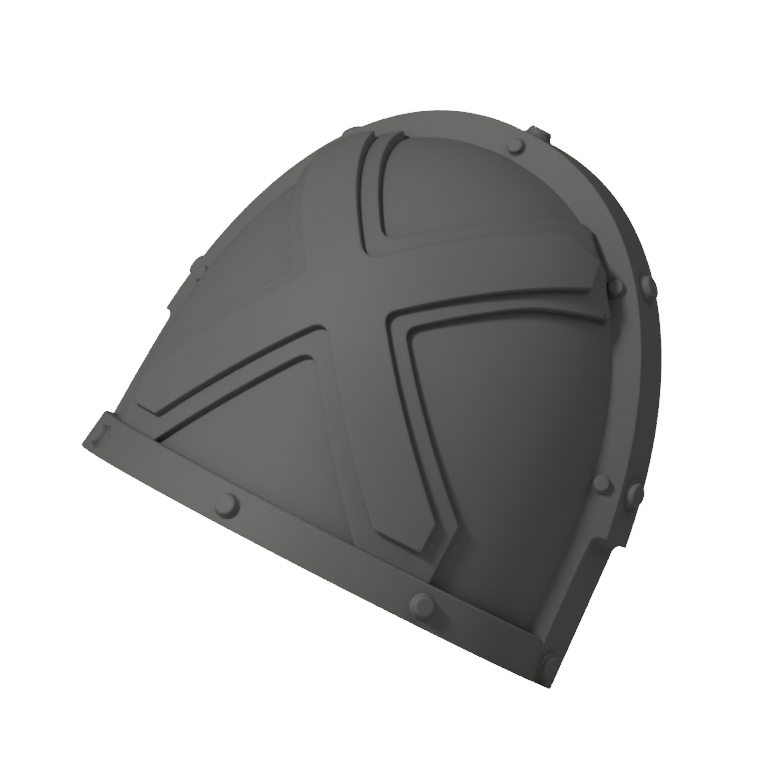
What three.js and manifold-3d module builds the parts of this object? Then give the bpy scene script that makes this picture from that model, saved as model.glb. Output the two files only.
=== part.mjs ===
// A domed steel pauldron (shoulder plate) with a folded rim, a bottom band and a two-layer saltire.
// Millimetres, +Z up. The front faces -Y, the open back +Y, and the part stands on its bottom edge.
import * as THREE from 'three';
import { mergeVertices } from 'three/addons/utils/BufferGeometryUtils.js';
import Module from 'manifold-3d';

const wasm = await Module();
wasm.setup();

// Dome: half-ellipses in plan, whose half-width and depth follow two superellipse profiles up to the apex.
const domeHalfWidth = 129.6;
const domeDepth = 127.6;
const domeHeight = 226.7;
const domeWall = 2;
const sideStraight = 18.5; // height up to which the sides stand upright
const frontStraight = 70; // the same for the front
const domeExponent = 2.34;

// Rim: a channel that follows the arch, with feet that are set in below a notch.
const rimProudSide = 14.3; // how far the arch stands out beyond the dome
const rimProudTop = 14;
const archExponent = 2.18;
const rimWall = 2.5;
const rimDepthTop = 30; // front to back at the crown
const rimDepthFoot = 20.5;
const rimLeanTop = 0.7; // how far the outer face leans in, from back to front
const rimLeanFoot = 2.7;
const rimTurn = 0.4; // share of the height at which the rim starts to deepen
const stepSlope = 0.5; // forward rise of the front face for each millimetre inwards
const notchHeight = 79.5;
const notchFillet = 4.5;
const footProudTop = 4.3; // how far the feet stand out beyond the dome
const footProudBottom = 8.8;

// Band: a channel round the bottom edge, between the feet of the rim.
const bandProudBottom = 9.9; // how far the band stands out beyond the dome
const bandProudTop = 6.9;
const bandHeight = 21.3;
const bandWall = 2.5;

// Saltire: two raised layers in the shape of an X, seen from the front.
const saltireSideInset = 33.2; // from the dome's side to the side of the lower arms
const saltireTopInset = 28.2; // from the crown of the arch down to the ends of the upper arms
const layerThickness = 3.8;
const crownFillet = 10; // corners between the two upper and between the two lower arms
const sideFillet = 6; // corners between an upper and a lower arm
const endFillet = 1.3;
const outlineStep = 12; // longest straight piece of a layer's edge, so that it follows the dome

// Rivets: heads with a flat top and a tapered side.
const bigRivetRadius = 6.4;
const bigRivetHeight = 4.7;
const smallRivetRadius = 4.9;
const smallRivetHeight = 3;
const smallRivetInset = 9; // from the rim's front edge
const lowRivetRise = 25; // above the notch
const highRivetDrop = 43; // below the crown of the arch
const bandRivetAngle = 46.7; // degrees from the front
const footRivetShare = 0.58; // of the foot's depth, from the back
const rivetSides = 14;

// Fit and fineness.
const gap = 0.3;
const rivetSeat = 0.5; // under a rivet, because the faces that carry them curve or twist
const planSteps = 30;
const heightSteps = 20;
const archSteps = 44;
const footSteps = 3;
const filletSteps = 3;
const cornerSteps = 3;
const reach = 2 * rimDepthTop; // how far cutting blocks run past what they cut
const farSide = 2 * (domeHalfWidth + reach); // past every side of the part

const archHalfWidth = domeHalfWidth + rimProudSide;
const archHeight = domeHeight + rimProudTop;
const archStraight = sideStraight;
const saltireHalfWidth = domeHalfWidth - saltireSideInset;
const saltireHeight = archHeight - saltireTopInset - bandHeight;
const lowRivetHeight = notchHeight + lowRivetRise;
const highRivetHeight = archHeight - highRivetDrop;
const rimReach = rimProudSide + 2 * rimDepthTop / 3; // from the arch inwards, to well inside the dome

const superellipse = (share, exponent) => Math.pow(Math.max(0, 1 - Math.pow(share, exponent)), 1 / exponent);

// Half-width and depth of the dome at a height, grown by an offset.
function domeSection(z, offset) {
  const top = domeHeight + offset;
  const sideShare = Math.min(1, Math.max(0, (z - sideStraight) / (top - sideStraight)));
  const frontShare = Math.min(1, Math.max(0, (z - frontStraight) / (top - frontStraight)));
  return {
    halfWidth: (domeHalfWidth + offset) * superellipse(sideShare, domeExponent),
    depth: (domeDepth + offset) * superellipse(frontShare, domeExponent),
  };
}

// The rim's stations: point of the arch, outward direction in the XZ plane, depth and lean.
function archPoint(turn) {
  const x = archHalfWidth * Math.pow(Math.cos(turn), 2 / archExponent);
  const z = archStraight + (archHeight - archStraight) * Math.pow(Math.sin(turn), 2 / archExponent);
  return new THREE.Vector2(x, z);
}

function archNormal(point) {
  const rise = Math.max(0, point.y - archStraight) / (archHeight - archStraight);
  return new THREE.Vector2(
    Math.pow(point.x / archHalfWidth, archExponent - 1) / archHalfWidth,
    Math.pow(rise, archExponent - 1) / (archHeight - archStraight),
  ).normalize();
}

const archTurnAtHeight = (z) => {
  const share = (z - archStraight) / (archHeight - archStraight);
  return Math.asin(Math.pow(share, archExponent / 2));
};

const rimShare = (z) => THREE.MathUtils.smoothstep(z, rimTurn * archHeight, archHeight);
const rimDepth = (z) => rimDepthFoot + (rimDepthTop - rimDepthFoot) * rimShare(z);
const rimLean = (z) => rimLeanFoot + (rimLeanTop - rimLeanFoot) * rimShare(z);

// A station of the foot, which is set in from the arch but keeps the arch's front face.
function footStation(z) {
  const fillet = Math.max(0, z - (notchHeight - notchFillet)) / notchFillet;
  const rise = notchFillet * (1 - Math.sqrt(1 - Math.min(1, fillet) ** 2));
  const x = domeHalfWidth + THREE.MathUtils.lerp(footProudBottom, footProudTop, z / notchHeight) + rise;
  const arch = archPoint(archTurnAtHeight(Math.max(z, archStraight)));
  return { point: new THREE.Vector2(x, z), normal: new THREE.Vector2(1, 0), setIn: arch.x - x };
}

// Right half of the rim, from the bottom of the foot to the crown.
function rimStations() {
  const stations = [];
  const filletStart = notchHeight - notchFillet;
  for (let step = 0; step <= footSteps; step += 1) {
    stations.push(footStation(filletStart * (step / footSteps)));
  }
  for (let step = 1; step <= filletSteps; step += 1) {
    stations.push(footStation(filletStart + notchFillet * Math.sin((Math.PI / 2) * (step / filletSteps))));
  }
  const firstTurn = archTurnAtHeight(notchHeight + gap);
  for (let step = 0; step <= archSteps / 2; step += 1) {
    const point = archPoint(THREE.MathUtils.lerp(firstTurn, Math.PI / 2, step / (archSteps / 2)));
    stations.push({ point, normal: archNormal(point), setIn: 0 });
  }
  return stations;
}

const rightStations = rimStations();
const mirrored = rightStations.slice(0, -1).reverse().map(({ point, normal, setIn }) => ({
  point: new THREE.Vector2(-point.x, point.y),
  normal: new THREE.Vector2(-normal.x, normal.y),
  setIn,
}));
const stations = [...rightStations, ...mirrored];

// Builds a closed body from rings of points, with flat ends.
function loft(rings) {
  const size = rings[0].length;
  const positions = rings.flat().flatMap((point) => [point.x, point.y, point.z]);
  const faces = [];
  for (let ring = 0; ring + 1 < rings.length; ring += 1) {
    for (let index = 0; index < size; index += 1) {
      const next = (index + 1) % size;
      const a = ring * size + index;
      const b = ring * size + next;
      faces.push(a, b, b + size, a, b + size, a + size);
    }
  }
  const last = (rings.length - 1) * size;
  for (const [a, b, c] of capFaces(rings[0])) {
    faces.push(c, b, a);
  }
  for (const [a, b, c] of capFaces(rings[rings.length - 1])) {
    faces.push(last + a, last + b, last + c);
  }
  const geometry = new THREE.BufferGeometry();
  geometry.setAttribute('position', new THREE.Float32BufferAttribute(positions, 3));
  geometry.setIndex(faces);
  return geometry;
}

// Triangles of a flat ring, in the ring's own turning direction.
function capFaces(ring) {
  const normal = new THREE.Vector3();
  ring.forEach((point, index) => {
    normal.add(new THREE.Vector3().crossVectors(point, ring[(index + 1) % ring.length]));
  });
  const turn = new THREE.Quaternion().setFromUnitVectors(normal.normalize(), new THREE.Vector3(0, 0, 1));
  const flat = ring.map((point) => {
    const turned = point.clone().applyQuaternion(turn);
    return new THREE.Vector2(turned.x, turned.y);
  });
  return THREE.ShapeUtils.triangulateShape(flat, []);
}

// Turns a closed geometry into a solid that can be joined and cut, and back.
function toSolid(geometry) {
  const bare = geometry.clone();
  bare.deleteAttribute('normal');
  bare.deleteAttribute('uv');
  const merged = mergeVertices(bare, 1e-4);
  const solid = new wasm.Manifold(new wasm.Mesh({
    numProp: 3,
    vertProperties: new Float32Array(merged.attributes.position.array),
    triVerts: new Uint32Array(merged.index.array),
  }));
  return solid;
}

function toGeometry(solid) {
  const mesh = solid.getMesh();
  const geometry = new THREE.BufferGeometry();
  geometry.setAttribute('position', new THREE.Float32BufferAttribute(mesh.vertProperties, 3));
  geometry.setIndex(Array.from(mesh.triVerts));
  geometry.computeVertexNormals();
  return geometry;
}

function box(low, high) {
  const geometry = new THREE.BoxGeometry(high[0] - low[0], high[1] - low[1], high[2] - low[2]);
  geometry.translate((low[0] + high[0]) / 2, (low[1] + high[1]) / 2, (low[2] + high[2]) / 2);
  return toSolid(geometry);
}

// The dome as a full block: its outer surface grown by an offset, run past the back and the bottom if asked.
function domeBlock(offset, past) {
  const rings = [];
  const top = domeHeight + offset;
  const ringAt = (z, sectionHeight) => {
    const { halfWidth, depth } = domeSection(sectionHeight, offset);
    const ring = [];
    for (let step = 0; step <= planSteps; step += 1) {
      const turn = Math.PI * (step / planSteps);
      ring.push(new THREE.Vector3(-halfWidth * Math.cos(turn), -depth * Math.sin(turn), z));
    }
    ring.push(new THREE.Vector3(halfWidth, past + gap, z), new THREE.Vector3(-halfWidth, past + gap, z));
    return ring;
  };
  if (past > 0) {
    rings.push(ringAt(-past, 0));
  }
  for (let step = 0; step < heightSteps; step += 1) {
    const z = top * (1 - (1 - step / heightSteps) ** 2);
    rings.push(ringAt(z, z));
  }
  rings.push(ringAt(top - gap / 10, top - gap / 10));
  return toSolid(loft(rings));
}

function domeShell() {
  const behind = box([-farSide, 0, -farSide], [farSide, farSide, farSide]);
  return domeBlock(0, 0).subtract(domeBlock(-domeWall, reach)).subtract(behind);
}

// Sweeps a profile of [outward, forward] points, given for each station, round the rim.
function sweepRim(profileAt) {
  const rings = stations.map((station) => profileAt(station).map(([outward, forward]) => new THREE.Vector3(
    station.point.x + station.normal.x * outward,
    -forward,
    station.point.y + station.normal.y * outward,
  )));
  return toSolid(loft(rings));
}

// The rim as a channel that is open towards the dome.
function archRim() {
  const channel = sweepRim(({ point, setIn }) => {
    const depth = rimDepth(point.y) + stepSlope * setIn;
    const lean = rimLean(point.y);
    const rise = (inset) => depth + stepSlope * (inset - lean);
    return [
      [0, 0], [-rimReach, 0], [-rimReach, rimWall], [-rimWall, rimWall],
      [-lean - rimWall, rise(lean + rimWall) - rimWall], [-rimReach, rise(rimReach) - rimWall],
      [-rimReach, rise(rimReach)], [-lean, depth],
    ];
  });
  return channel.subtract(domeBlock(gap, reach));
}

// Everything behind the rim's front face, grown by an offset: what other pieces are cut by.
function rimBlock(offset) {
  return sweepRim(({ point, setIn }) => {
    const lean = rimLean(point.y) - offset;
    const front = rimDepth(point.y) + stepSlope * setIn + offset;
    const inner = front + stepSlope * (rimReach - lean);
    return [[reach, -reach], [-rimReach, -reach], [-rimReach, inner], [-lean, front], [reach, front]];
  });
}

// The band: a channel that is open towards the dome, ending at the feet of the rim.
function bottomBand() {
  const rings = [];
  const inner = -2 * bandWall;
  const profile = [
    [bandProudBottom, 0], [bandProudTop, bandHeight], [inner, bandHeight], [inner, bandHeight - bandWall],
    [bandProudTop - bandWall, bandHeight - bandWall], [bandProudBottom - bandWall, bandWall], [inner, bandWall],
    [inner, 0],
  ];
  for (let step = 0; step <= planSteps * 2; step += 1) {
    const turn = Math.PI * (step / (planSteps * 2));
    rings.push(profile.map(([proud, z]) => new THREE.Vector3(
      (domeHalfWidth + proud) * Math.cos(turn),
      -(domeDepth + proud) * Math.sin(turn),
      z,
    )));
  }
  return toSolid(loft(rings)).subtract(domeBlock(gap, reach)).subtract(rimBlock(gap));
}

// Right half of each layer, from the upper middle corner clockwise: shares of the saltire's half-width and height.
const topOutline = [
  { across: 0, up: 0.661, fillet: crownFillet },
  { across: 0.621, up: 0.97, fillet: endFillet },
  { across: 0.776, up: 0.937, fillet: endFillet },
  { across: 0.855, up: 0.864, fillet: endFillet },
  { across: 0.251, up: 0.567, fillet: sideFillet },
  { across: 0.93, up: 0.148, fillet: endFillet },
  { across: 0.93, up: 0.062, fillet: endFillet },
  { across: 0.71, up: 0.062, fillet: endFillet },
  { across: 0, up: 0.489, fillet: crownFillet },
];

const baseOutline = [
  { across: 0, up: 0.723, fillet: crownFillet },
  { across: 0.565, up: 1.006, fillet: endFillet },
  { across: 0.61, up: 1, fillet: endFillet },
  { across: 0.752, up: 0.937, fillet: endFillet },
  { across: 0.857, up: 0.875, fillet: endFillet },
  { across: 0.955, up: 0.812, fillet: endFillet },
  { across: 0.36, up: 0.556, fillet: sideFillet },
  { across: 1, up: 0.162, fillet: endFillet },
  { across: 1, up: -0.1, fillet: 0 },
  { across: 0.76, up: -0.1, fillet: 0 },
  { across: 0, up: 0.393, fillet: crownFillet },
];

// Points of an outline in the XZ plane, mirrored to the left, with rounded corners and short straight pieces.
function saltireOutline(rows) {
  const right = rows.map(({ across, up, fillet }) => ({
    at: new THREE.Vector2(across * saltireHalfWidth, bandHeight + up * saltireHeight),
    fillet,
  }));
  const left = right.slice(1, -1).reverse().map(({ at, fillet }) => ({
    at: new THREE.Vector2(-at.x, at.y),
    fillet,
  }));
  const corners = [...right, ...left];
  const shape = new THREE.Shape();
  corners.forEach(({ at, fillet }, index) => {
    const before = corners[(index + corners.length - 1) % corners.length].at;
    const after = corners[(index + 1) % corners.length].at;
    const into = at.clone().add(before.clone().sub(at).setLength(fillet));
    const out = at.clone().add(after.clone().sub(at).setLength(fillet));
    if (index === 0) {
      shape.moveTo(into.x, into.y);
    } else {
      shape.lineTo(into.x, into.y);
    }
    if (fillet > 0) {
      shape.quadraticCurveTo(at.x, at.y, out.x, out.y);
    }
  });
  const ring = shape.getPoints(cornerSteps);
  return ring.flatMap((point, index) => {
    const next = ring[(index + 1) % ring.length];
    const pieces = Math.ceil(point.distanceTo(next) / outlineStep);
    return Array.from({ length: pieces }, (_, piece) => point.clone().lerp(next, piece / pieces));
  });
}

// Seats on the rim: a point of the arch, the outward direction, and the two faces that carry rivets.
function rimSeat(side, height) {
  const point = archPoint(Math.min(Math.PI / 2, archTurnAtHeight(Math.min(height, archHeight))));
  const normal = archNormal(point);
  const place = (outward, forward) => new THREE.Vector3(
    side * (point.x + normal.x * outward),
    -forward,
    point.y + normal.y * outward,
  );
  const aim = (outward, forward) => new THREE.Vector3(side * normal.x * outward, -forward, normal.y * outward)
    .normalize();
  const depth = rimDepth(point.y);
  const lean = rimLean(point.y);
  return {
    outer: { at: place(-lean / 2, depth / 2), axis: aim(depth, lean) },
    front: {
      at: place(-lean - smallRivetInset, depth + stepSlope * smallRivetInset),
      axis: aim(stepSlope, 1),
    },
  };
}

const rimSeats = [
  rimSeat(-1, lowRivetHeight),
  rimSeat(-1, highRivetHeight),
  rimSeat(1, archHeight),
  rimSeat(1, highRivetHeight),
  rimSeat(1, lowRivetHeight),
];

function aimed(geometry, seat, lift) {
  const turn = new THREE.Quaternion().setFromUnitVectors(new THREE.Vector3(0, 1, 0), seat.axis);
  geometry.applyQuaternion(turn);
  const place = seat.at.clone().addScaledVector(seat.axis, lift);
  geometry.translate(place.x, place.y, place.z);
  return geometry;
}

// Room for a small rivet beside the ends of the saltire.
function rivetRelief(seat) {
  const radius = smallRivetRadius + gap;
  return toSolid(aimed(new THREE.CylinderGeometry(radius, radius, rimDepthTop, rivetSides), seat, 0));
}

// A point of the dome's surface, grown by an offset, and the direction that stands square on the surface.
function domePoint(x, z, offset) {
  const { halfWidth, depth } = domeSection(z, offset);
  const forward = depth * Math.sqrt(Math.max(0, 1 - (x / halfWidth) ** 2));
  const above = domeSection(z + gap, offset);
  const level = (x / above.halfWidth) ** 2 + (forward / above.depth) ** 2;
  return {
    at: new THREE.Vector3(x, -forward, z),
    normal: new THREE.Vector3(x / halfWidth ** 2, -forward / depth ** 2, (level - 1) / (2 * gap)).normalize(),
  };
}

// A block in the shape of an outline on the dome, whose walls stand square on the dome where the layer lies.
function outlineBlock(rows, crown) {
  const seats = saltireOutline(rows).map(({ x, y }) => domePoint(x, y, crown));
  const ringAt = (lift) => seats.map(({ at, normal }) => at.clone().addScaledVector(normal, lift));
  const outer = ringAt(layerThickness);
  const inner = ringAt(-2 * layerThickness);
  const front = outer.map((point) => point.clone().setY(-farSide));
  const back = inner.map((point) => point.clone().setY(reach));
  return toSolid(loft([front, outer, inner, back]));
}

// A layer over the dome, between two distances from its surface.
function saltireLayer(rows, from) {
  const crown = from + layerThickness;
  const above = box([-farSide, -farSide, bandHeight + gap], [farSide, farSide, farSide]);
  let layer = domeBlock(crown, 0)
    .subtract(domeBlock(from, reach))
    .intersect(outlineBlock(rows, crown))
    .intersect(above)
    .subtract(rimBlock(gap));
  for (const seat of rimSeats) {
    layer = layer.subtract(rivetRelief(seat.front));
  }
  return layer;
}

// A rivet head: rows of radius and height as shares of its own size, from the seat to the flat top.
const rivetProfile = [
  { radius: 0, height: 0 },
  { radius: 1, height: 0 },
  { radius: 0.97, height: 0.3 },
  { radius: 0.86, height: 0.72 },
  { radius: 0.67, height: 1 },
  { radius: 0, height: 1 },
];

function rivetHead(radius, height) {
  const points = rivetProfile.map((row) => new THREE.Vector2(row.radius * radius, row.height * height));
  return new THREE.LatheGeometry(points, rivetSides);
}

function bandSeat(degrees) {
  const turn = THREE.MathUtils.degToRad(degrees);
  const proud = (bandProudBottom + bandProudTop) / 2;
  const lean = (bandProudBottom - bandProudTop) / bandHeight;
  const halfWidth = domeHalfWidth + proud;
  const depth = domeDepth + proud;
  return {
    at: new THREE.Vector3(halfWidth * Math.sin(turn), -depth * Math.cos(turn), bandHeight / 2),
    axis: new THREE.Vector3(Math.sin(turn) * depth, -Math.cos(turn) * halfWidth, lean * depth).normalize(),
  };
}

function footSeat(side) {
  const { point, setIn } = footStation(bandHeight / 2);
  const depth = rimDepth(bandHeight / 2) + stepSlope * setIn;
  const lean = rimLean(bandHeight / 2);
  return {
    at: new THREE.Vector3(side * (point.x - lean * footRivetShare), -depth * footRivetShare, bandHeight / 2),
    axis: new THREE.Vector3(side * depth, -lean, 0).normalize(),
  };
}

const bandSeats = [footSeat(-1), bandSeat(-bandRivetAngle), bandSeat(0), bandSeat(bandRivetAngle), footSeat(1)];

const steel = new THREE.MeshStandardMaterial({ color: 0x5a5a56, roughness: 0.62, metalness: 0.3 });
const rivetSteel = new THREE.MeshStandardMaterial({ color: 0x5f5f5b, roughness: 0.58, metalness: 0.35 });

const group = new THREE.Group();
function add(name, geometry, material) {
  const mesh = new THREE.Mesh(geometry, material);
  mesh.name = name;
  group.add(mesh);
}

add('dome_shell', toGeometry(domeShell()), steel);
add('arch_rim', toGeometry(archRim()), steel);
add('bottom_band', toGeometry(bottomBand()), steel);
add('saltire_base', toGeometry(saltireLayer(baseOutline, gap)), steel);
add('saltire_top', toGeometry(saltireLayer(topOutline, 2 * gap + layerThickness)), steel);
rimSeats.forEach((seat, index) => {
  const outer = aimed(rivetHead(bigRivetRadius, bigRivetHeight), seat.outer, rivetSeat);
  const front = aimed(rivetHead(smallRivetRadius, smallRivetHeight), seat.front, rivetSeat);
  add(`rim_outer_rivet_${index + 1}`, outer, rivetSteel);
  add(`rim_front_rivet_${index + 1}`, front, rivetSteel);
});
bandSeats.forEach((seat, index) => {
  const head = aimed(rivetHead(bigRivetRadius, bigRivetHeight), seat, rivetSeat);
  add(`band_rivet_${index + 1}`, head, rivetSteel);
});

// The origin is the middle of the footprint, on the ground.
const extent = new THREE.Box3().setFromObject(group);
group.position.y = -(extent.min.y + extent.max.y) / 2;

export default group;
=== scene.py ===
import math

import bmesh
import bpy
from mathutils import Matrix, Vector
from mathutils.geometry import delaunay_2d_cdt


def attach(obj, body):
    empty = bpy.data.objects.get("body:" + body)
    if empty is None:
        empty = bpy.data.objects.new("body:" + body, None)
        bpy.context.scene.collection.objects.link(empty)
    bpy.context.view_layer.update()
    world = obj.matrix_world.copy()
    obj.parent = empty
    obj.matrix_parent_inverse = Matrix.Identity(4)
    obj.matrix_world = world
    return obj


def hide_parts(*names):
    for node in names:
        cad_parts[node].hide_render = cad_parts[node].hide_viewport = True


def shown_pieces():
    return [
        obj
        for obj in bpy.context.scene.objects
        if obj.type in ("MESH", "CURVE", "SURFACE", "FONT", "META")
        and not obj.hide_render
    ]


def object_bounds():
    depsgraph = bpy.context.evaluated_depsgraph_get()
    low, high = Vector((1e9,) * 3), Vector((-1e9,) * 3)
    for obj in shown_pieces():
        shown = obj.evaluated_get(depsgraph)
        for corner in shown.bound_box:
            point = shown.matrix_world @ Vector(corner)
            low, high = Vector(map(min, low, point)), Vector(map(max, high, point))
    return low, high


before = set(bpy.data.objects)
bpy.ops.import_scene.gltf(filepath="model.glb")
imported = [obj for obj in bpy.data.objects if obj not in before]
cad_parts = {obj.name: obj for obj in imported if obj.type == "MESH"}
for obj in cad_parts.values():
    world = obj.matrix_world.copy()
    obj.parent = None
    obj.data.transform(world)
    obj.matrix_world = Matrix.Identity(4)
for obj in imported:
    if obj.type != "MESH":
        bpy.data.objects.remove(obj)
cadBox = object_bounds()
print("frame loaded")

mm = 0.001
backY = cadBox[1].y  # the plane of the open back
cornerSteps = 5
quarterTurns = [0.5 * math.pi * i / cornerSteps for i in range(cornerSteps + 1)]
tolerance = {"merge": 1e-6, "degenerate": 1e-7}
sharpAngle = {"dome": 50, "folded": 35, "layer": 40, "rivet": 60}  # degrees

dome = {
    "halfWidth": 129.6 * mm, "depth": 127.0 * mm, "height": 227.5 * mm, "wall": 2.0 * mm,
    "sideStraight": 18.5 * mm, "frontStraight": 70.0 * mm, "exponent": 2.34,
    "columns": 144, "rows": 96, "straightRows": 8, "probe": 0.3 * mm,
}

rim = {
    "proudSide": 14.3 * mm, "proudTop": 13.2 * mm, "exponent": 2.18, "wall": 2.5 * mm,
    "depthTop": 28.1 * mm, "depthFoot": 20.6 * mm, "leanTop": 0.1 * mm, "leanFoot": 2.1 * mm,
    "slopeTop": 0.3, "slopeFoot": 0.6,
    "notch": 79.5 * mm, "notchFillet": 4.5 * mm, "footTop": 4.3 * mm, "footBottom": 8.8 * mm,
    "edge": 0.9 * mm, "backEdge": 0.54 * mm, "footEdge": 1.44 * mm, "notchEdge": 0.54 * mm,
    "notchGap": 0.02 * mm, "intoDome": 0.8 * mm, "domeGap": 0.2 * mm,
    "searchReach": 60.0 * mm, "searchSteps": 24, "stations": 150, "footSteps": 24, "filletSteps": 10,
}
rim["halfWidth"] = dome["halfWidth"] + rim["proudSide"]
rim["height"] = dome["height"] + rim["proudTop"]
rim["straight"] = dome["sideStraight"]
rim["rise"] = rim["height"] - rim["straight"]

band = {
    "proudBottom": 9.9 * mm, "proudTop": 6.9 * mm, "height": 21.3 * mm, "wall": 2.5 * mm, "edge": 0.8 * mm,
    "topEdge": 1.5 * mm, "intoDome": 1.2 * mm, "steps": 220, "gap": 0.3 * mm,
}

saltire = {
    "sideInset": 33.2 * mm, "topInset": 28.2 * mm, "thickness": 3.8 * mm, "gap": 0.3 * mm,
    "edge": 0.9 * mm, "edgeWall": 1.4 * mm, "edgeCrown": 0.5 * mm, "sunk": 1.0 * mm,
    "cornerSpacing": 0.7 * mm, "outlineSpacing": 1.6 * mm, "cornerSteps": 4,
    "spacing": 2.4 * mm, "rowShare": 0.866, "clearShare": 0.6,
}
saltire["halfWidth"] = dome["halfWidth"] - saltire["sideInset"]
saltire["height"] = rim["height"] - saltire["topInset"] - band["height"]


# shared shapes
def superellipse(share, exponent):
    return max(0.0, 1.0 - share ** exponent) ** (1.0 / exponent)


def domeSection(z, offset):
    top = dome["height"] + offset
    side = min(1.0, max(0.0, (z - dome["sideStraight"]) / (top - dome["sideStraight"])))
    front = min(1.0, max(0.0, (z - dome["frontStraight"]) / (top - dome["frontStraight"])))
    halfWidth = (dome["halfWidth"] + offset) * superellipse(side, dome["exponent"])
    depth = (dome["depth"] + offset) * superellipse(front, dome["exponent"])
    return halfWidth, depth


def domeForward(x, z, offset):
    halfWidth, depth = domeSection(z, offset)
    if abs(x) >= halfWidth:
        return 0.0
    return depth * math.sqrt(1.0 - (x / halfWidth) ** 2)


def domeNormal(x, z, offset):
    step = dome["probe"]
    halfWidth, depth = domeSection(z, offset)
    forward = domeForward(x, z, offset)
    wider, deeper = domeSection(z + step, offset)
    level = (x / wider) ** 2 + (forward / deeper) ** 2
    return Vector((x / halfWidth ** 2, -forward / depth ** 2, (level - 1) / (2 * step))).normalized()


def insideDome(x, forward, z, offset):
    halfWidth, depth = domeSection(z, offset)
    if halfWidth <= 0 or depth <= 0:
        return False
    return (x / halfWidth) ** 2 + (forward / depth) ** 2 < 1


def place(x, forward, z):
    return Vector((x, backY - forward, z))


def makeObject(name, verts, faces, angle, node):
    mesh = bpy.data.meshes.new(name)
    mesh.from_pydata([tuple(v) for v in verts], [], faces)
    bm = bmesh.new()
    bm.from_mesh(mesh)
    bmesh.ops.remove_doubles(bm, verts=bm.verts, dist=tolerance["merge"])
    bmesh.ops.dissolve_degenerate(bm, edges=bm.edges, dist=tolerance["degenerate"])
    bmesh.ops.recalc_face_normals(bm, faces=bm.faces)
    bm.to_mesh(mesh)
    bm.free()
    mesh.shade_smooth()
    mesh.set_sharp_from_angle(angle=math.radians(angle))
    obj = bpy.data.objects.new(name, mesh)
    bpy.context.scene.collection.objects.link(obj)
    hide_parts(node)
    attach(obj, "root")


def loft(rings):
    size = len(rings[0])
    faces = []
    for r in range(len(rings) - 1):
        for i in range(size):
            a, b = r * size + i, r * size + (i + 1) % size
            faces.append((a, b, b + size, a + size))
    last = (len(rings) - 1) * size
    faces.append(tuple(range(size)))
    faces.append(tuple(range(last, last + size)))
    return [v for ring in rings for v in ring], faces


def roundCorner(before, corner, after, radius):
    corner = Vector(corner)
    toBefore = (Vector(before) - corner).normalized()
    toAfter = (Vector(after) - corner).normalized()
    half = toBefore.angle(toAfter) / 2
    centre = corner + (toBefore + toAfter).normalized() * (radius / math.sin(half))
    start = corner + toBefore * (radius / math.tan(half)) - centre
    end = corner + toAfter * (radius / math.tan(half)) - centre
    shares = [i / cornerSteps for i in range(cornerSteps + 1)]
    return [centre + start.lerp(end, share).normalized() * radius for share in shares]


# dome shell
def domeRows(offset):
    straight, top = dome["sideStraight"], dome["height"] + offset
    heights = [straight * i / dome["straightRows"] for i in range(dome["straightRows"])]
    for i in range(dome["rows"]):
        turn = 0.5 * math.pi * i / dome["rows"]
        heights.append(straight + (top - straight) * math.sin(turn) ** (2 / dome["exponent"]))
    rows = []
    for z in heights:
        halfWidth, depth = domeSection(z, offset)
        turns = [math.pi * c / dome["columns"] for c in range(dome["columns"] + 1)]
        rows.append([place(-halfWidth * math.cos(t), depth * math.sin(t), z) for t in turns])
    return rows


def buildDome():
    outer, inner = domeRows(0), domeRows(-dome["wall"])
    width = dome["columns"] + 1
    count = len(outer) * width
    verts = [v for row in outer + inner for v in row]
    verts += [place(0, 0, dome["height"]), place(0, 0, dome["height"] - dome["wall"])]
    faces = []
    for start in (0, count):
        for r in range(len(outer) - 1):
            for c in range(width - 1):
                a = start + r * width + c
                faces.append((a, a + 1, a + width + 1, a + width))
        last = start + count - width
        apex = 2 * count + (1 if start else 0)
        faces += [(last + c, last + c + 1, apex) for c in range(width - 1)]
    faces += [(c, c + 1, count + c + 1, count + c) for c in range(width - 1)]
    for c in (0, width - 1):
        for r in range(len(outer) - 1):
            a = r * width + c
            faces.append((a, a + width, count + a + width, count + a))
        last = count - width + c
        faces.append((last, 2 * count, 2 * count + 1, count + last))
    makeObject("domeShell", verts, faces, sharpAngle["dome"], "dome_shell")


# arch rim
def archPoint(turn):
    turn = min(turn, 0.5 * math.pi)
    x = rim["halfWidth"] * max(0.0, math.cos(turn)) ** (2 / rim["exponent"])
    z = rim["straight"] + rim["rise"] * math.sin(turn) ** (2 / rim["exponent"])
    across = (x / rim["halfWidth"]) ** (rim["exponent"] - 1) / rim["halfWidth"]
    up = ((z - rim["straight"]) / rim["rise"]) ** (rim["exponent"] - 1) / rim["rise"]
    length = math.hypot(across, up)
    return x, z, across / length, up / length


def archTurn(z):
    return math.asin(min(1.0, ((z - rim["straight"]) / rim["rise"]) ** (rim["exponent"] / 2)))


def rimShare(z):
    return max(0.0, z - rim["notch"]) / (rim["height"] - rim["notch"])


def rimDepth(z):
    return rim["depthFoot"] + (rim["depthTop"] - rim["depthFoot"]) * rimShare(z)


def rimLean(z):
    return rim["leanFoot"] + (rim["leanTop"] - rim["leanFoot"]) * rimShare(z)


def stepSlope(z):
    return rim["slopeFoot"] + (rim["slopeTop"] - rim["slopeFoot"]) * rimShare(z)


def footX(z):
    proud = rim["footBottom"] + (rim["footTop"] - rim["footBottom"]) * z / rim["notch"]
    climb = min(1.0, max(0.0, (z - rim["notch"]) / rim["notchFillet"] + 1.0))
    return dome["halfWidth"] + proud + rim["notchFillet"] * (1 - math.sqrt(1 - climb ** 2))


def footStation(z, drawn=0.0):
    arch = archPoint(archTurn(max(z, rim["straight"])))
    return footX(z), z, 1.0, 0.0, drawn, arch[0] - footX(z)


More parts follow.
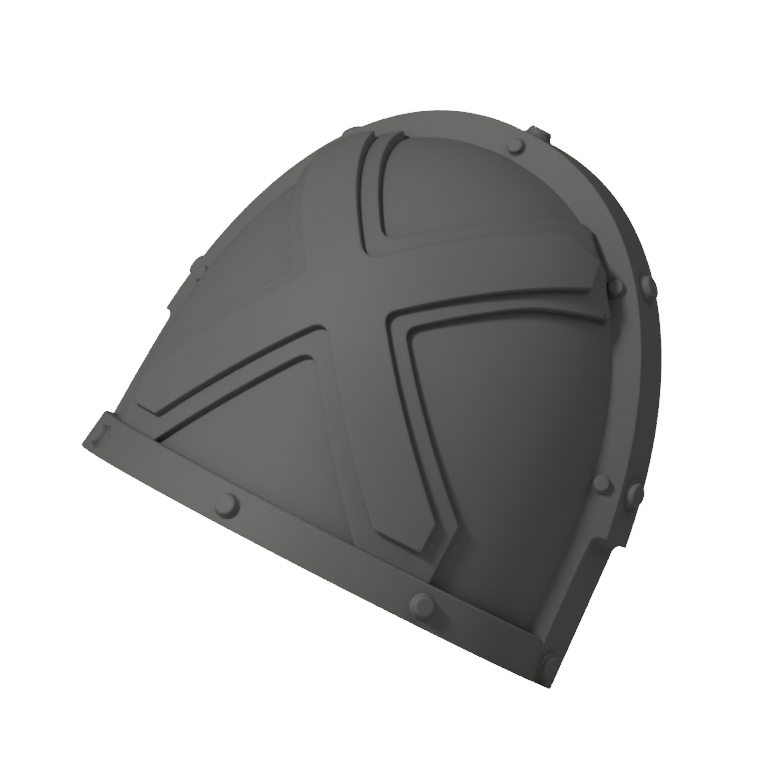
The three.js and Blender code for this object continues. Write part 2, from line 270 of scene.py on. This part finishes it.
def rimStations():
    # x, z, outward x, outward z, how far the faces are drawn in at an end, and how far the foot is set in
    foot, small = rim["footEdge"], rim["notchEdge"]
    footSteps, filletSteps = rim["footSteps"], rim["filletSteps"]
    filletStart = rim["notch"] - rim["notchFillet"]
    stations = []
    for t in quarterTurns:
        z = foot * (1 - math.cos(t))
        stations.append(footStation(z, foot * (1 - math.sin(t))))
    for i in range(1, footSteps + 1):
        stations.append(footStation(foot + (filletStart - foot) * i / footSteps))
    for i in range(1, filletSteps + 1):
        climb = math.sin(0.5 * math.pi * i / filletSteps)
        stations.append(footStation(filletStart + rim["notchFillet"] * climb))
    for t in quarterTurns:
        z = rim["notch"] + small * (1 - math.cos(t)) + rim["notchGap"]
        stations.append((*archPoint(archTurn(z)), small * (1 - math.sin(t)), 0.0))
    first = archTurn(rim["notch"] + small)
    for i in range(1, rim["stations"] + 1):
        turn = first + (0.5 * math.pi - first) * i / rim["stations"]
        stations.append((*archPoint(turn), 0.0, 0.0))
    return stations


def reachInward(station, forwardAt, offset):
    x, z, acrossWay, upWay = station[:4]
    near, far = 0.0, rim["searchReach"]
    for _ in range(rim["searchSteps"]):
        middle = (near + far) / 2
        if insideDome(x - acrossWay * middle, forwardAt(middle), z - upWay * middle, offset):
            far = middle
        else:
            near = middle
    return far


def rimProfile(station):
    z, drawn, setIn = station[1], station[4], station[5]
    slope, lean, wall = stepSlope(z), rimLean(z), rim["wall"]
    depth = rimDepth(z) + slope * setIn

    def faceForward(inward):
        return depth + slope * (inward - lean)

    backEnd = reachInward(station, lambda inward: 0.0, rim["domeGap"])
    frontEnd = reachInward(station, faceForward, 0.0) + rim["intoDome"]
    outerBack = (-drawn, 0.0)
    outerFront = (-lean - drawn, depth - drawn)
    innerFront = (-frontEnd, faceForward(frontEnd) - drawn)
    points = [Vector((-backEnd, 0))]
    points += roundCorner((-backEnd, 0), outerBack, outerFront, rim["backEdge"])
    points += roundCorner(outerBack, outerFront, innerFront, rim["edge"])
    points += [
        Vector(innerFront),
        Vector((-frontEnd, faceForward(frontEnd) - wall - drawn)),
        Vector((-lean - wall - drawn, faceForward(lean + wall) - wall - drawn)),
        Vector((-wall - drawn, wall)),
        Vector((-backEnd, wall)),
    ]
    return points


def buildRim():
    rings = []
    for station in rimStations():
        x, z, acrossWay, upWay = station[:4]
        rings.append([place(x + acrossWay * p.x, p.y, z + upWay * p.x) for p in rimProfile(station)])
    rings += [[Vector((-v.x, v.y, v.z)) for v in ring] for ring in reversed(rings[:-1])]
    makeObject("archRim", *loft(rings), sharpAngle["folded"], "arch_rim")


# bottom band
def buildBand():
    inner = -band["intoDome"]
    lower, upper = (band["proudBottom"], 0.0), (band["proudTop"], band["height"])
    wall, height = band["wall"], band["height"]
    profile = roundCorner((inner, 0), lower, upper, band["edge"])
    profile += roundCorner(lower, upper, (inner, height), band["topEdge"])
    profile += [
        Vector((inner, height)),
        Vector((inner, height - wall)),
        Vector((band["proudTop"] - wall, height - wall)),
        Vector((band["proudBottom"] - wall, wall)),
        Vector((inner, wall)),
        Vector((inner, 0)),
    ]
    ends = []
    for p in profile:
        radius = dome["depth"] + p.x
        inset = rim["halfWidth"] - rimLean(p.y) - dome["halfWidth"] - p.x
        forward = rimDepth(p.y) + stepSlope(p.y) * inset + band["gap"]
        ends.append(math.asin(forward / radius))
    rings = []
    for i in range(band["steps"] + 1):
        share = i / band["steps"]
        ring = []
        for p, end in zip(profile, ends):
            turn = end + (math.pi - 2 * end) * share
            x = (dome["halfWidth"] + p.x) * math.cos(turn)
            forward = (dome["depth"] + p.x) * math.sin(turn)
            ring.append(place(x, forward, p.y))
        rings.append(ring)
    makeObject("bottomBand", *loft(rings), sharpAngle["folded"], "bottom_band")


# saltire: right half of each layer from the upper middle corner clockwise, as shares of its half-width
# and height, with how far in mm each corner is rounded
layers = {
    "saltireTop": {
        "node": "saltire_top",
        "under": 2 * saltire["gap"] + saltire["thickness"],
        "corners": [
            (0, 0.665, 10.0), (0.643, 0.971, 1.3), (0.801, 0.938, 1.3), (0.878, 0.867, 1.3),
            (0.2515, 0.5675, 6.0), (0.935, 0.1465, 1.3), (0.935, 0.0612, 1.3), (0.7075, 0.0612, 1.3),
            (0, 0.4855, 10.0),
        ],
    },
    "saltireBase": {
        "node": "saltire_base",
        "under": saltire["gap"],
        "corners": [
            (0, 0.7286, 10.0), (0.581, 1.005, 1.3), (0.619, 0.999, 1.3), (0.811, 0.918, 1.3),
            (0.969, 0.816, 1.3), (0.768, 0.757, 6.0), (0.362, 0.5567, 6.0), (1.0, 0.166, 1.3),
            (1.0, -0.03, 1.3), (0.697, -0.03, 1.3), (0, 0.4017, 10.0),
        ],
    },
}


def layerOutline(corners):
    halfWidth, low, height = saltire["halfWidth"], band["height"], saltire["height"]
    points = [(x * halfWidth, low + up * height, r * mm) for x, up, r in corners]
    points += [(-x, z, r) for x, z, r in reversed(points[1:-1])]
    outline = []
    for i, (x, z, reach) in enumerate(points):
        corner = Vector((x, z))
        before = Vector(points[i - 1][:2])
        after = Vector(points[(i + 1) % len(points)][:2])
        start = corner + (before - corner).normalized() * reach
        end = corner + (after - corner).normalized() * reach
        steps = max(saltire["cornerSteps"], round(reach / saltire["cornerSpacing"]))
        for s in range(steps + 1):
            share = s / steps
            outline.append(start.lerp(corner, share).lerp(corner.lerp(end, share), share))
        nextReach = points[(i + 1) % len(points)][2]
        goal = after + (corner - after).normalized() * nextReach
        pieces = max(1, round((goal - end).length / saltire["outlineSpacing"]))
        outline += [end.lerp(goal, s / pieces) for s in range(1, pieces)]
    return outline


def insidePolygon(point, polygon):
    inside = False
    for i, a in enumerate(polygon):
        b = polygon[i - 1]
        if (a.y > point.y) != (b.y > point.y):
            if point.x < (b.x - a.x) * (point.y - a.y) / (b.y - a.y) + a.x:
                inside = not inside
    return inside


def buildLayer(name, layer):
    edge, spacing = saltire["edge"], saltire["spacing"]
    outline = layerOutline(layer["corners"])
    inward = []
    for i, point in enumerate(outline):
        along = (outline[(i + 1) % len(outline)] - outline[i - 1]).normalized()
        inward.append(Vector((along.y, -along.x)))
    crown = layer["under"] + saltire["thickness"]
    rings = [(0.0, -saltire["sunk"]), (0.0, crown - edge - saltire["edgeWall"]), (0.0, crown - edge)]
    rings += [(edge * (1 - math.cos(t)), crown - edge * (1 - math.sin(t))) for t in quarterTurns[1:]]
    rings.append((edge + saltire["edgeCrown"], crown))
    verts, faces = [], []
    count = len(outline)
    for drawn, offset in rings:
        for point, way in zip(outline, inward):
            spot = point + way * drawn
            onCrown = place(spot.x, domeForward(spot.x, spot.y, crown), spot.y)
            verts.append(onCrown + domeNormal(spot.x, spot.y, crown) * (offset - crown))
    for r in range(len(rings) - 1):
        for i in range(count):
            a, b = r * count + i, r * count + (i + 1) % count
            faces.append((a, b, b + count, a + count))
    innermost = [point + way * rings[-1][0] for point, way in zip(outline, inward)]
    fill = []
    row, z = 0, min(p.y for p in innermost)
    while z < max(p.y for p in innermost):
        x = -saltire["halfWidth"] + (spacing / 2 if row % 2 else 0)
        while x < saltire["halfWidth"]:
            spot = Vector((x, z))
            clear = min((spot - p).length_squared for p in innermost) > (saltire["clearShare"] * spacing) ** 2
            if clear and insidePolygon(spot, innermost):
                fill.append(spot)
            x += spacing
        row, z = row + 1, z + saltire["rowShare"] * spacing
    flat = innermost + fill
    result = delaunay_2d_cdt(flat, [], [list(range(count))], 1, tolerance["degenerate"])
    points, triangles, origins = result[0], result[2], result[3]
    start = (len(rings) - 1) * count
    ids = []
    for point, origin in zip(points, origins):
        if origin and origin[0] < count:
            ids.append(start + origin[0])
        else:
            ids.append(len(verts))
            verts.append(place(point.x, domeForward(point.x, point.y, crown), point.y))
    faces += [tuple(ids[i] for i in triangle) for triangle in triangles]
    makeObject(name, verts, faces, sharpAngle["layer"], layer["node"])


# rivets
rivet = {
    "bigRadius": 7.4 * mm, "bigHeight": 4.1 * mm, "bandRadius": 6.7 * mm, "bandHeight": 4.1 * mm,
    "smallRadius": 4.9 * mm, "smallHeight": 2.7 * mm, "smallInset": 9.3 * mm,
    "lowRise": 25.8 * mm, "highDrop": 42.2 * mm, "bandAngle": 46.2, "bandDrop": 0.6 * mm, "footShare": 0.58,
    "segments": 48, "seat": 0.3 * mm,
}
rivetProfile = [  # radius and height as shares of the rivet's own
    (1.0, -0.2), (1.0, 0.0), (0.94, 0.06), (0.89, 0.18), (0.86, 0.36), (0.835, 0.56), (0.81, 0.72),
    (0.775, 0.85), (0.725, 0.94), (0.66, 0.985), (0.58, 1.0), (0.3, 1.01), (0.0, 1.015),
]


def buildRivet(name, node, at, axis, size):
    radius, height = rivet[size + "Radius"], rivet[size + "Height"]
    turn = axis.to_track_quat("Z", "Y").to_matrix()
    rings = []
    for across, up in rivetProfile:
        ring = []
        for s in range(rivet["segments"]):
            angle = 2 * math.pi * s / rivet["segments"]
            spot = Vector((across * radius * math.cos(angle), across * radius * math.sin(angle), up * height))
            ring.append(at + axis * rivet["seat"] + turn @ spot)
        rings.append(ring)
    makeObject(name, *loft(rings), sharpAngle["rivet"], node)


def rimRivets():
    heights = [rim["notch"] + rivet["lowRise"], rim["height"] - rivet["highDrop"], rim["height"]]
    spots = [(-1, heights[0]), (-1, heights[1]), (1, heights[2]), (1, heights[1]), (1, heights[0])]
    for i, (side, height) in enumerate(spots):
        x, z, acrossWay, upWay = archPoint(archTurn(height))
        depth, lean, slope = rimDepth(z), rimLean(z), stepSlope(z)
        for kind, inward, forward, out, ahead in (
            ("outer", lean / 2, depth / 2, depth, lean),
            ("front", lean + rivet["smallInset"], depth + slope * rivet["smallInset"], slope, 1.0),
        ):
            at = place(side * (x - acrossWay * inward), forward, z - upWay * inward)
            axis = Vector((side * acrossWay * out, -ahead, upWay * out)).normalized()
            name = "rim%sRivet_%d" % (kind.capitalize(), i + 1)
            node = "rim_%s_rivet_%d" % (kind, i + 1)
            buildRivet(name, node, at, axis, "big" if kind == "outer" else "small")


def bandRivets():
    proud = (band["proudBottom"] + band["proudTop"]) / 2
    lean = (band["proudBottom"] - band["proudTop"]) / band["height"]
    z = band["height"] / 2 - rivet["bandDrop"]
    halfWidth, depth = dome["halfWidth"] + proud, dome["depth"] + proud
    footDepth = rimDepth(z) + stepSlope(z) * footStation(z)[5]
    footAcross = footX(z) - rimLean(z) * rivet["footShare"]
    seats = []
    for side in (-1, 1):
        axis = Vector((side * footDepth, -rimLean(z), 0))
        seats.append((place(side * footAcross, footDepth * rivet["footShare"], z), axis))
    middle = []
    for degrees in (-rivet["bandAngle"], 0, rivet["bandAngle"]):
        turn = math.radians(degrees)
        axis = Vector((math.sin(turn) * depth, -math.cos(turn) * halfWidth, lean * depth))
        middle.append((place(halfWidth * math.sin(turn), depth * math.cos(turn), z), axis))
    for i, (at, axis) in enumerate([seats[0], *middle, seats[1]]):
        name, node = "bandRivet_%d" % (i + 1), "band_rivet_%d" % (i + 1)
        buildRivet(name, node, at, axis.normalized(), "big" if i in (0, 4) else "band")


buildDome()
buildRim()
buildBand()
for layerName, layerFacts in layers.items():
    buildLayer(layerName, layerFacts)
print("plates built")
rimRivets()
bandRivets()
print("rivets built")

# material: matte dark steel paint
paint = {
    "color": (0.135, 0.134, 0.127), "roughness": 0.62, "specular": 0.25,
    "cloudScale": 9, "cloudDetail": 4, "cloudFrom": 0.35, "cloudTo": 0.65, "darkest": 0.97, "lightest": 1.03,
    "grain": 1400, "bump": 0.02 * mm, "bumpStrength": 0.15,
}


def makePaint(name):
    material = bpy.data.materials.new(name)
    material.use_nodes = True
    nodes, links = material.node_tree.nodes, material.node_tree.links
    shader = nodes["Principled BSDF"]
    shader.inputs["Roughness"].default_value = paint["roughness"]
    shader.inputs["Specular IOR Level"].default_value = paint["specular"]
    shader.inputs["Metallic"].default_value = 0.0
    coords = nodes.new("ShaderNodeTexCoord")
    cloud = nodes.new("ShaderNodeTexNoise")
    cloud.inputs["Scale"].default_value = paint["cloudScale"]
    cloud.inputs["Detail"].default_value = paint["cloudDetail"]
    links.new(coords.outputs["Object"], cloud.inputs["Vector"])
    ramp = nodes.new("ShaderNodeValToRGB")
    ends = ((paint["cloudFrom"], paint["darkest"]), (paint["cloudTo"], paint["lightest"]))
    for element, (position, share) in zip(ramp.color_ramp.elements, ends):
        element.position = position
        element.color = [channel * share for channel in paint["color"]] + [1]
    links.new(cloud.outputs["Fac"], ramp.inputs["Fac"])
    links.new(ramp.outputs["Color"], shader.inputs["Base Color"])
    grain = nodes.new("ShaderNodeTexNoise")
    grain.inputs["Scale"].default_value = paint["grain"]
    links.new(coords.outputs["Object"], grain.inputs["Vector"])
    bump = nodes.new("ShaderNodeBump")
    bump.inputs["Strength"].default_value = paint["bumpStrength"]
    bump.inputs["Distance"].default_value = paint["bump"]
    links.new(grain.outputs["Fac"], bump.inputs["Height"])
    links.new(bump.outputs["Normal"], shader.inputs["Normal"])
    return material


platePaint = makePaint("platePaint")
rivetPaint = makePaint("rivetPaint")
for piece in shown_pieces():
    piece.data.materials.clear()
    piece.data.materials.append(rivetPaint if "Rivet" in piece.name else platePaint)
print("paint set")

# camera: the photo looks from 26 degrees to the front right, nearly level, rolled, through a long lens
view = {
    "azimuth": 26.0, "elevation": 1.25, "roll": 27.15, "distance": 10.0, "width": 0.3802,
    "across": -0.01825, "up": 0.0975, "sensor": 36, "farthest": 200,
}


def setCamera():
    turn, rise, roll = (math.radians(view[key]) for key in ("azimuth", "elevation", "roll"))
    back = Vector((math.sin(turn) * math.cos(rise), -math.cos(turn) * math.cos(rise), math.sin(rise)))
    right = Vector((math.cos(turn), math.sin(turn), 0))
    up = back.cross(right)
    aim = right * (view["across"] + backY * math.sin(turn)) + up * view["up"]
    cameraRight = right * math.cos(roll) + up * math.sin(roll)
    cameraUp = up * math.cos(roll) - right * math.sin(roll)
    data = bpy.data.cameras.new("camera")
    data.sensor_width = view["sensor"]
    data.lens = view["sensor"] * view["distance"] / view["width"]
    data.clip_end = view["farthest"]
    camera = bpy.data.objects.new("camera", data)
    bpy.context.scene.collection.objects.link(camera)
    turned = Matrix((cameraRight, cameraUp, back)).transposed().to_4x4()
    camera.matrix_world = Matrix.Translation(aim + back * view["distance"]) @ turned
    bpy.context.scene.camera = camera
    return cameraRight, cameraUp, back


imageRight, imageUp, towards = setCamera()


# light and floor
lamps = {  # direction as shares of image right, image up and towards the camera
    "keyLight": {"direction": (-0.75, 0.75, 0.85), "size": 0.5, "power": 60},
    "topLight": {"direction": (0.8, 0.8, 0.35), "size": 2.0, "power": 20},
}
lampDistance = 3.0
lampAim = Vector((0, 0, 0.12))


def softLight(name, lamp):
    across, rise, ahead = lamp["direction"]
    direction = (towards * ahead + imageRight * across + imageUp * rise).normalized()
    data = bpy.data.lights.new(name, "AREA")
    data.shape = "DISK"
    data.size = lamp["size"]
    data.energy = lamp["power"]
    light = bpy.data.objects.new(name, data)
    light.location = lampAim + direction * lampDistance
    light.rotation_mode = "QUATERNION"
    light.rotation_quaternion = direction.to_track_quat("Z", "Y")
    bpy.context.scene.collection.objects.link(light)


# the floor and the wall behind look white, and light the part only a little
studio = {
    "floorColor": (0.9, 0.9, 0.9, 1), "floorRoughness": 0.9, "floorHalf": 60.0,
    "floorGlow": 20.0, "floorFill": 0.0, "wallGlow": 20.0, "fill": 0.13,
}


def cameraOnly(nodes, links, seen, unseen):
    path = nodes.new("ShaderNodeLightPath")
    strength = nodes.new("ShaderNodeMath")
    strength.operation = "MULTIPLY_ADD"
    strength.inputs[1].default_value = seen - unseen
    strength.inputs[2].default_value = unseen
    links.new(path.outputs["Is Camera Ray"], strength.inputs[0])
    return strength.outputs["Value"]


def makeFloor():
    mesh = bpy.data.meshes.new("floor")
    half = studio["floorHalf"]
    corners = [(-half, -half, 0), (half, -half, 0), (half, half, 0), (-half, half, 0)]
    mesh.from_pydata(corners, [], [(0, 1, 2, 3)])
    floor = bpy.data.objects.new("floor", mesh)
    bpy.context.scene.collection.objects.link(floor)
    material = bpy.data.materials.new("paleFloor")
    material.use_nodes = True
    nodes, links = material.node_tree.nodes, material.node_tree.links
    shader = nodes["Principled BSDF"]
    shader.inputs["Base Color"].default_value = studio["floorColor"]
    shader.inputs["Roughness"].default_value = studio["floorRoughness"]
    shader.inputs["Emission Color"].default_value = (1, 1, 1, 1)
    glow = cameraOnly(nodes, links, studio["floorGlow"], studio["floorFill"])
    links.new(glow, shader.inputs["Emission Strength"])
    mesh.materials.append(material)


def makeWorld():
    world = bpy.data.worlds.new("studio")
    world.use_nodes = True
    bpy.context.scene.world = world
    nodes, links = world.node_tree.nodes, world.node_tree.links
    background = nodes["Background"]
    background.inputs["Color"].default_value = (1, 1, 1, 1)
    glow = cameraOnly(nodes, links, studio["wallGlow"], studio["fill"])
    links.new(glow, background.inputs["Strength"])


for lampName, lampFacts in lamps.items():
    softLight(lampName, lampFacts)
makeFloor()
makeWorld()
print("stage set")
